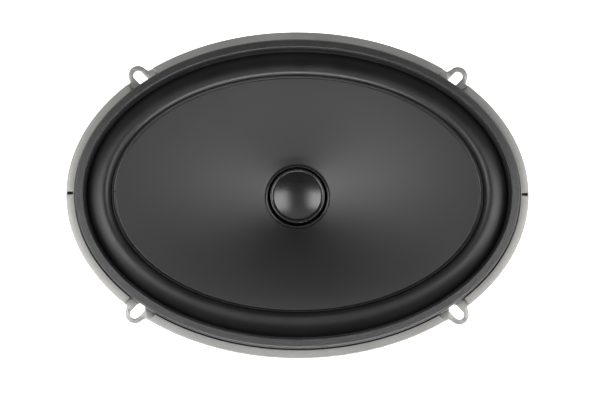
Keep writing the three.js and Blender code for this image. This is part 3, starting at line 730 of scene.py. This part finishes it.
def cone():
    """The cone, with a fine groove just inside the bead of the surround."""
    neck = NECK_R + 0.45
    line = [(neck, NECK_Z - 5), (neck, NECK_Z - 3), (neck, NECK_Z - 1.4), (neck + 0.08, NECK_Z - 0.6)]
    steps = 64
    groove_r = CONE_R - 1.95
    for i in range(steps + 1):
        r = NECK_R + 0.8 + (groove_r - 1.2 - NECK_R - 0.8) * (i / steps) ** 1.2
        line.append((r, cone_height(r)))
    for k in range(1, 22):
        r = groove_r - 1.2 + k * 0.14
        line.append((r, cone_height(r) - 0.4 * math.exp(-((r - groove_r) / 0.32) ** 2)))
    return turned("cone", sheet(line, 0.85), CONE, oval=True)


piece(cone(), "cone_assembly", "cone_polymer", "cone")
for side in (-1, 1):
    piece(turned("cone_nub_left" if side < 0 else "cone_nub_right", rounded([
        (0, 81.0), (0.8, 81.0, 0.2), (0.75, 81.9, 0.4), (0, 82.1),
    ]), CONE, segments=32, centre=(side * (CONE_R - 1.75), 0)), "cone_assembly", "cone_polymer")

piece(turned("cone_neck_ring", rounded([
    (15.2, NECK_Z - 0.4, 0.2), (15.2, NECK_Z + 0.9, 0.3), (16.05, NECK_Z + 0.9, 0.4), (16.15, NECK_Z + 0.1, 0.1),
    (16.6, NECK_Z - 0.1, 0.1), (16.3, NECK_Z - 0.5, 0.1),
], steps=6), NECK), "cone_assembly", "black_gloss", "cone_neck_ring")

piece(turned("voice_coil_former", rounded([
    (COIL_R, 20.4), (COIL_R + 0.5, 20.4), (COIL_R + 0.5, 68.3), (COIL_R, 68.3),
], 0.1), PAPER), "cone_assembly", "former_paper", "voice_coil_former")

piece(turned("voice_coil_winding", rounded([
    (COIL_R + 0.6, 21.4), (COIL_R + 1.4, 21.4, 0.35), (COIL_R + 1.4, 33.4, 0.35), (COIL_R + 0.6, 33.4),
], 0.1), COPPER), "cone_assembly", "copper_wire", "voice_coil_winding")


def spider():
    middle = SPIDER_Z + 0.55
    line = [(COIL_R + 1.1, middle + 3), (COIL_R + 1.15, middle + 1), (COIL_R + 1.6, middle + 0.1)]
    for i in range(121):
        share = i / 120
        r = 18.6 + 28.4 * share
        line.append((r, middle - 1.45 * math.sin(2 * math.pi * 5 * share) * min(1, share * 12, (1 - share) * 12)))
    line += [(48.5, middle), (54.4, middle)]
    return turned("spider", sheet(line, 0.5), CLOTH, segments=200)


flexible(spider(), "spider", ((0, 0, 0.052), (0, 0, 0.054)),
         lambda x, y, z: (47 - math.hypot(x, y) / MM) / (47 - 18.6))

# Motor

piece(turned("top_plate", rounded([
    (17.6, 24.4, 0.3), (48, 24.4, 0.8), (48, 30.4, 0.8), (17.6, 30.4, 0.3),
]), STEEL), "frame", "plated_steel", "top_plate")
piece(turned("magnet", rounded([
    (24, 8.1, 0.5), (50, 8.1, 1.0), (50, 24.1, 1.0), (24, 24.1, 0.5),
]), FERRITE), "frame", "ferrite", "magnet")
piece(turned("yoke", rounded([
    (10, 1.8, 0.4), (48, 1.8, 0.8), (48, 7.8, 0.8), (15, 7.8, 0.8), (15, 33.8, 0.8), (4.6, 33.8, 0.4),
    (4.6, 6.5, 0.3), (10, 6.5, 0.3),
]), STEEL), "frame", "plated_steel", "yoke")


def boot():
    cover = turned("magnet_boot", rounded([
        (34, 0.05, 0.5), (36, 0.05, 0.2), (36.6, 0.5, 0.2), (39.4, 0.5, 0.2), (40, 0, 0.2), (50.4, 0, 0.8), (52, 1.8, 0.9),
        (52, 5, 0.3), (51.6, 5.5, 0.2), (51.6, 21.6, 0.2), (52, 22.1, 0.3), (52, 26, 0.8), (48.4, 26, 0.4),
        (48.4, 24.4, 0.2), (50.3, 24.4, 0.2), (50.3, 1.5, 0.3), (34, 1.5, 0.3),
    ]), BOOT, segments=240)
    return soften(cut(cover, round_box(-1.6, 1.6, -54, -33, -1, 2.6, 0.5)), 0.2)


piece(boot(), "frame", "boot_rubber", "magnet_boot")


def pan_screw(name, x, y, z):
    head = turned(name, rounded([
        (0, z - 8), (1.9, z - 8, 0.2), (1.9, z, 0.2), (4, z, 0.3), (4, z + 0.9, 0.6), (2.8, z + 2.2, 1.0), (0, z + 2.4),
    ]), FASTENER, segments=48)
    for angle in (20, 110):
        cut(head, placed(round_box(-2.2, 2.2, -0.4, 0.4, z + 1.1, z + 4, 0.2), turn_z(angle)))
    return placed(soften(head, 0.12), shift(x, y, 0))


for i, degrees in enumerate((45, 135, 225, 315), 1):
    a = math.radians(degrees)
    piece(pan_screw(f"motor_screw_{i}", 33 * math.cos(a), 33 * math.sin(a), CUP_Z + 2.4), "frame", "plated_steel",
          f"motor_screw_{i}")

# Tweeter and its post

POST_TOP = TWEETER_Z - 13
CUP_FLOOR = POST_TOP + 0.3
DOME_EDGE_Z = TWEETER_Z - 1.0
DOME_HEIGHT = 2.7

piece(turned("tweeter_post", rounded([
    (1.8, 3.4, 0.2), (4.2, 3.4, 0.4), (4.2, 34.1, 0.3), (6.5, 34.1, 0.5), (6.5, 56, 1.4), (10, 57.6, 0.6), (10, 60, 0.4),
    (1.8, 60, 0.2),
]), GLOSS), "frame", "black_gloss", "tweeter_post")
piece(turned("post_washer", rounded([(4.6, 5.3), (8, 5.3), (8, 6.3), (4.6, 6.3)], 0.2), FASTENER),
      "frame", "plated_steel", "post_washer")


def post_nut():
    corners = [(6.93 * math.cos(math.radians(60 * k)), 6.93 * math.sin(math.radians(60 * k))) for k in range(6)]
    nut = prism("post_nut", corners, 2, 5.1, FASTENER)
    dome = turned("cutter", rounded([(0, 1.5), (6.0, 1.5, 0.1), (7.2, 2.6, 0.1), (7.2, 6, 0.1), (0, 6, 0.1)]),
                  FASTENER, segments=96)
    combine(nut, dome, "INTERSECT")
    return soften(cut(nut, turned("cutter", [(0, 1), (4.5, 1), (4.5, 7), (0, 7)], FASTENER, segments=64)), 0.2)


piece(post_nut(), "frame", "plated_steel", "post_nut")
piece(turned("tweeter_cup", rounded([
    (2, CUP_FLOOR), (13.2, CUP_FLOOR, 0.8), (13.2, 70.4), (12.2, 70.4), (12.2, CUP_FLOOR + 1.8, 0.6), (2, CUP_FLOOR + 1.8),
]), STEEL), "frame", "plated_steel", "tweeter_cup")
piece(turned("tweeter_magnet", rounded([(2, 62.3), (10, 62.3), (10, 66.3), (2, 66.3)]), NICKEL),
      "frame", "nickel", "tweeter_magnet")
piece(turned("tweeter_pole_plate", rounded([(2, 66.5), (10.7, 66.5), (10.7, 68.7, 0.4), (2, 68.7)]), STEEL),
      "frame", "plated_steel", "tweeter_pole_plate")
piece(turned("tweeter_voice_coil", rounded([(11.05, 65.3), (11.8, 65.3), (11.8, 71.3), (11.05, 71.3)], 0.2), COPPER),
      "tweeter_diaphragm", "copper_wire", "tweeter_voice_coil")


def dome():
    radius = (12.15 ** 2 + DOME_HEIGHT ** 2) / (2 * DOME_HEIGHT)
    middle = radius - 0.2
    reach = math.asin(11.95 / middle)
    centre = DOME_EDGE_Z + DOME_HEIGHT - radius
    line = [(middle * math.sin(reach * k / 48), centre + middle * math.cos(reach * k / 48)) for k in range(49)]
    outer = [(r * (1 + 0.2 / middle), centre + (z - centre) * (1 + 0.2 / middle)) for r, z in line]
    inner = [(r * (1 - 0.2 / middle), centre + (z - centre) * (1 - 0.2 / middle)) for r, z in line]
    return turned("tweeter_dome", outer + inner[::-1], DOME)


piece(dome(), "tweeter_diaphragm", "dome_film", "tweeter_dome")
piece(turned("tweeter_surround", rounded([
    (12.1, 70.8), (13.2, 70.8), (13.2, 71.7), (12.3, 71.7, 0.3), (12.1, 71.5),
], 0.15), RUBBER), "frame", "surround_rubber", "tweeter_surround")
piece(turned("tweeter_bezel", rounded([
    (12.35, DOME_EDGE_Z - 0.1, 0.1), (13.5, DOME_EDGE_Z - 0.1, 0.1), (13.5, CUP_FLOOR, 0.1), (13.9, CUP_FLOOR, 0.15),
    (13.9, TWEETER_Z - 0.1, 0.6), (12.9, TWEETER_Z - 0.1, 0.6), (12.35, TWEETER_Z - 0.8, 0.1),
], steps=6), BEZEL), "frame", "black_gloss", "tweeter_bezel")

# Terminals, capacitor and leads

board = round_box(-15, 15, -70.5, -55, BOARD_Z, BOARD_Z + 2, 1.5, "terminal_board")
board.data.materials.append(LAMINATE)
for x in (-TERMINAL_X, TERMINAL_X):
    cut(board, turned("cutter", [(0, 30), (1.6, 30), (1.6, 50), (0, 50)], LAMINATE, segments=32, centre=(x, RIVET_Y)))
piece(soften(board, 0.2), "frame", "board_laminate", "terminal_board")

BLADE_Z = BOARD_Z + 2.3
TAG_Y, TAG_TOP = -58.0, BLADE_Z + 4.4


def terminal(name, x, width):
    half = width / 2
    seat_r = 2.9
    reach = math.degrees(math.acos(half / seat_r))
    outline = [(x - half, -58.4)] + arc(x, RIVET_Y, seat_r, 180 - reach, 180 + reach)
    outline += [(x - half, -74.6), (x - half + 0.8, -76), (x + half - 0.8, -76), (x + half, -74.6)]
    outline += arc(x, RIVET_Y, seat_r, -reach, reach) + [(x + half, -58.4)]
    blade = prism(name, outline, BLADE_Z, BLADE_Z + 0.8, FASTENER)
    unite(blade, round_box(x - half + 0.3, x + half - 0.3, TAG_Y - 0.8, TAG_Y, BLADE_Z + 0.3, TAG_TOP, 0.1, "tag"))
    cut(blade, turned("cutter", [(0, 30), (1.6, 30), (1.6, 50), (0, 50)], FASTENER, segments=32, centre=(x, RIVET_Y)),
        turned("cutter", [(0, 30), (0.8, 30), (0.8, 50), (0, 50)], FASTENER, segments=24, centre=(x, -72.5)))
    return soften(blade, 0.15)


for x, width, side in ((-TERMINAL_X, 4.8, "positive"), (TERMINAL_X, 2.8, "negative")):
    piece(terminal(f"terminal_{side}", x, width), "frame", "plated_steel", f"terminal_{side}")
    top = BLADE_Z + 1.0
    piece(turned(f"terminal_rivet_{side}", rounded([
        (0, EAR_Z - 1), (2.3, EAR_Z - 1, 0.5), (2.3, EAR_Z - 0.2, 0.2), (1.3, EAR_Z - 0.2), (1.3, top), (2.2, top, 0.2),
        (2.2, top + 0.6, 0.4), (1.0, top + 0.9, 0.3), (0.7, top + 0.3, 0.3), (0, top + 0.2),
    ], 0.1), FASTENER, segments=48, centre=(x, RIVET_Y)), "frame", "plated_steel", f"terminal_rivet_{side}")
    piece(turned(f"solder_{side}", rounded([
        (0, TAG_TOP - 3.6, 0.2), (1.0, TAG_TOP - 3.4, 0.5), (1.25, TAG_TOP - 2.2, 0.6), (0.9, TAG_TOP - 0.9, 0.5),
        (0, TAG_TOP - 0.5),
    ]), SOLDER, segments=32, centre=(x, TAG_Y + 0.9)), "frame", "plated_steel")


def capacitor():
    length, radius, z = 13.0, 4.5, BLADE_Z + 4.5
    body = turned("capacitor", rounded([
        (0, 0), (radius - 1.1, 0, 0.2), (radius - 0.9, 0.3, 0.2), (radius - 0.15, 0, 0.5), (radius, 0.9, 0.5),
        (radius, 2.2, 0.3), (radius - 0.35, 2.7, 0.3), (radius, 3.2, 0.3), (radius, length - 0.8, 0.6),
        (radius - 1.0, length, 0.4), (radius - 1.2, length - 0.3, 0.2), (0, length - 0.3),
    ]), SLEEVE, segments=96)
    return placed(body, shift(0, -57.6, z) @ Matrix.Rotation(math.radians(90), 4, "X"))


piece(capacitor(), "frame", "sleeve_plastic", "capacitor")

lead_line = smooth_line([
    (0, 0, 67), (0, 0, 30), (0, 0, 12), (0, -0.4, 3), (0, -2.6, 1.1), (0, -12, 0.95), (0, -30, 0.95), (0, -48, 0.95),
    (0, -52.2, 1.3), (0, -53.4, 4), (0, -53.4, 18), (0, -53.4, 34), (0, -53.4, 40), (0, -54.2, 43.4), (0, -57.2, 45),
], 10)
piece(tube("tweeter_lead", lead_line, 0.7, LEAD, 16), "frame", "lead_rubber", "tweeter_lead")


def tinsel_lead(name, side):
    x = side * TERMINAL_X
    line = smooth_line([
        (x, TAG_Y + 1, TAG_TOP - 2), (x, TAG_Y + 1, TAG_TOP + 1.5), (x, TAG_Y + 1, TAG_TOP + 5), (x, -50, 60),
        (x * 0.95, -40, 62.5), (x * 0.9, -30, 61), (x * 0.85, -22, 62), (x * 0.8, -17.4, 65),
    ], 14)
    return tube(name, line, 0.7, TINSEL, 16)


for side, name in ((-1, "positive"), (1, "negative")):
    obj = tinsel_lead(f"tinsel_lead_{name}", side)
    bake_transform(obj, "frame", "cone_assembly", (0, -0.057, 0.05), (0, -0.02, 0.063))
    weights = obj.data.attributes["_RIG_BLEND"].data
    for vertex in obj.data.vertices:
        t = min(max((vertex.co.y / MM + 56) / 38, 0), 1)
        weights[vertex.index].value = t * t * (3 - 2 * t)
    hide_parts(f"tinsel_lead_{name}")
    piece(turned(f"lead_glue_{name}", rounded([
        (0, 63.9), (1.3, 64.0, 0.5), (1.5, 65.0, 0.6), (0.9, 66.0, 0.5), (0, 66.2),
    ]), GLUE, segments=32, centre=(side * TERMINAL_X * 0.8, -17.2)), "cone_assembly", "lead_rubber")

# ---------------------------------------------------------------- floor, light and camera

floor_mesh = bpy.data.meshes.new("floor")
floor_mesh.from_pydata([(-4, -4, 0), (4, -4, 0), (4, 4, 0), (-4, 4, 0)], [], [(0, 1, 2, 3)])
floor = bpy.data.objects.new("floor", floor_mesh)
bpy.context.scene.collection.objects.link(floor)
floor_nodes = Nodes("floor_paint")
floor_mesh.materials.append(floor_nodes.set(
    Base_Color=floor_nodes.mix(floor_nodes.noise(3), (0.93, 0.93, 0.93), (0.95, 0.95, 0.95)), Roughness=0.9,
    Specular_IOR_Level=0.1, Emission_Color=(1.0, 1.0, 1.0), Emission_Strength=0.9))

FOCUS = Vector((0, 0, BAND_Z * MM))


def softbox(name, azimuth, elevation, distance, width, height, power):
    light = bpy.data.lights.new(name, "AREA")
    light.shape = "RECTANGLE"
    light.size, light.size_y = width, height
    light.energy = power
    obj = bpy.data.objects.new(name, light)
    a, e = math.radians(azimuth), math.radians(elevation)
    away = Vector((math.cos(e) * math.cos(a), math.cos(e) * math.sin(a), math.sin(e)))
    obj.location = FOCUS + away * distance
    obj.rotation_euler = away.to_track_quat("Z", "Y").to_euler()
    bpy.context.scene.collection.objects.link(obj)


softbox("left_softbox", 184, 51, 1.6, 1.1, 1.1, 18)
softbox("right_softbox", 0, 48, 1.6, 0.95, 1.1, 16)
softbox("front_softbox", 280, 11, 1.6, 2.4, 0.4, 42)
softbox("high_softbox", 270, 55, 1.6, 1.4, 0.7, 1.5)

world = bpy.data.worlds.new("studio")
world.use_nodes = True
bpy.context.scene.world = world
tree = world.node_tree
direction = tree.nodes.new("ShaderNodeTexCoord").outputs["Generated"]
height = tree.nodes.new("ShaderNodeSeparateXYZ")
tree.links.new(direction, height.inputs[0])
ramp = tree.nodes.new("ShaderNodeMapRange")
ramp.inputs["From Min"].default_value = 0.0
ramp.inputs["From Max"].default_value = 0.25
ramp.inputs["To Min"].default_value = 0.5
ramp.inputs["To Max"].default_value = 0.02
tree.links.new(height.outputs["Z"], ramp.inputs["Value"])
tree.links.new(ramp.outputs["Result"], tree.nodes["Background"].inputs["Strength"])
tree.nodes["Background"].inputs["Color"].default_value = (1.0, 1.0, 1.0, 1)

camera_data = bpy.data.cameras.new("camera")
camera_data.sensor_width = 36
camera_data.lens = 141.9
camera_data.clip_end = 20
camera = bpy.data.objects.new("camera", camera_data)
bpy.context.scene.collection.objects.link(camera)
TILT = math.radians(8)
aim = Vector((1.87, -3.3, BAND_Z)) * MM
camera.location = aim + Vector((0, -math.sin(TILT), math.cos(TILT))) * 1.2
camera.rotation_euler = (TILT, 0, math.radians(0.2))
bpy.context.scene.camera = camera
bpy.context.scene.view_settings.view_transform = "Standard"
